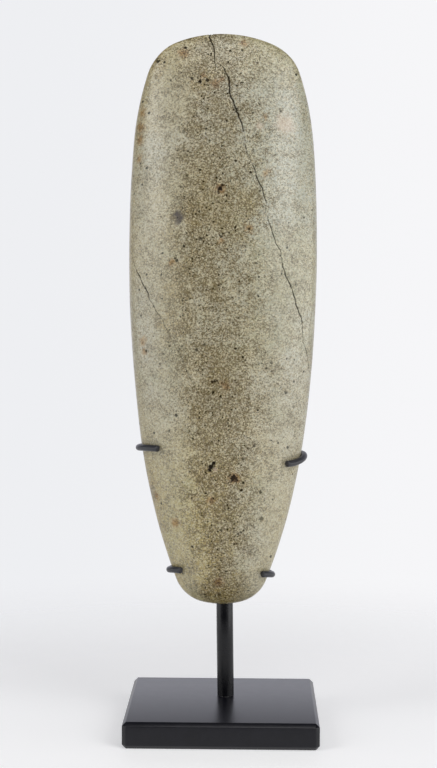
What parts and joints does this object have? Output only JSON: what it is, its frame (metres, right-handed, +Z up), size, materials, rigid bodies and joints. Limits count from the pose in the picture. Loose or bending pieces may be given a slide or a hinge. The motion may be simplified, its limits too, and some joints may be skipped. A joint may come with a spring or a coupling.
{
  "type": "polished stone axe",
  "caption": "Polished stone axe head with a rounded butt, held cutting edge up by wire cradles on a bent post that stands in a square steel base plate.",
  "frame": {"origin": "middle of the base plate's underside", "axes": "+Z up through the axe head to its cutting edge, -Y towards the front face, +X to the right seen from the front"},
  "size_m": [0.09, 0.09, 0.3264],
  "materials": {
    "stone": "polished by hand, satin",
    "plate": "satin black",
    "bar": "satin black"
  },
  "bodies": {
    "root": {"axe_head": "stone", "base_plate": "plate", "post": "bar", "lower_cradle": "bar", "upper_cradle": "bar"}
  },
  "joints": []
}
